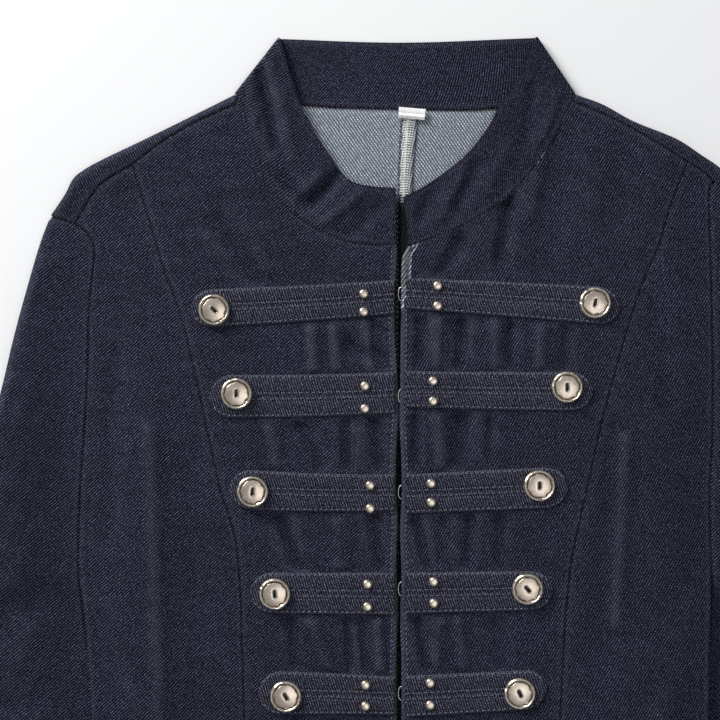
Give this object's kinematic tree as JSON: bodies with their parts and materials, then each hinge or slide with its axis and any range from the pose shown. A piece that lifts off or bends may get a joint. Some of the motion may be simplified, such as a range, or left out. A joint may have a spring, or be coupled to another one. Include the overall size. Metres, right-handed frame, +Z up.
{
  "type": "denim jacket",
  "caption": "Stand-collar denim jacket laid flat, with straps across the chest, dished metal buttons, domed studs and a hook-and-eye front.",
  "frame": {"origin": "on the table under the middle of the jacket's outline", "axes": "+Z up from the table, +Y towards the collar, +X across to the right sleeve as seen from above"},
  "size_m": [0.7366, 0.6944, 0.013],
  "materials": {
    "denim": "dark indigo denim, right side, raised twill",
    "strap_denim": "dark indigo denim straps with stitched edges",
    "denim_reverse": "pale reverse side of the denim",
    "label_cloth": "white woven tape, bare",
    "pewter": "warm antiqued pewter with a hammered rim",
    "wire": "plain bent wire"
  },
  "bodies": {
    "root": {"front_side_left": "denim", "front_centre_left": "denim", "shoulder_left": "denim", "back_left": "denim_reverse", "sleeve_upper_left": "denim", "sleeve_under_left": "denim", "strap_left_1": "strap_denim", "button_left_1": "pewter", "stud_left_1_upper": "pewter", "stud_left_1_lower": "pewter", "strap_left_2": "strap_denim", "button_left_2": "pewter", "stud_left_2_upper": "pewter", "stud_left_2_lower": "pewter", "strap_left_3": "strap_denim", "button_left_3": "pewter", "stud_left_3_upper": "pewter", "stud_left_3_lower": "pewter", "strap_left_4": "strap_denim", "button_left_4": "pewter", "stud_left_4_upper": "pewter", "stud_left_4_lower": "pewter", "strap_left_5": "strap_denim", "button_left_5": "pewter", "stud_left_5_upper": "pewter", "stud_left_5_lower": "pewter", "front_side_right": "denim", "front_centre_right": "denim", "shoulder_right": "denim", "back_right": "denim_reverse", "sleeve_upper_right": "denim", "sleeve_under_right": "denim", "strap_right_1": "strap_denim", "button_right_1": "pewter", "stud_right_1_upper": "pewter", "stud_right_1_lower": "pewter", "strap_right_2": "strap_denim", "button_right_2": "pewter", "stud_right_2_upper": "pewter", "stud_right_2_lower": "pewter", "strap_right_3": "strap_denim", "button_right_3": "pewter", "stud_right_3_upper": "pewter", "stud_right_3_lower": "pewter", "strap_right_4": "strap_denim", "button_right_4": "pewter", "stud_right_4_upper": "pewter", "stud_right_4_lower": "pewter", "strap_right_5": "strap_denim", "button_right_5": "pewter", "stud_right_5_upper": "pewter", "stud_right_5_lower": "pewter", "collar": "denim", "back_seam_allowance": "denim_reverse", "neck_label": "label_cloth", "hook_1": "wire", "hook_2": "wire", "hook_3": "wire", "hook_4": "wire", "hook_5": "wire"}
  },
  "joints": []
}
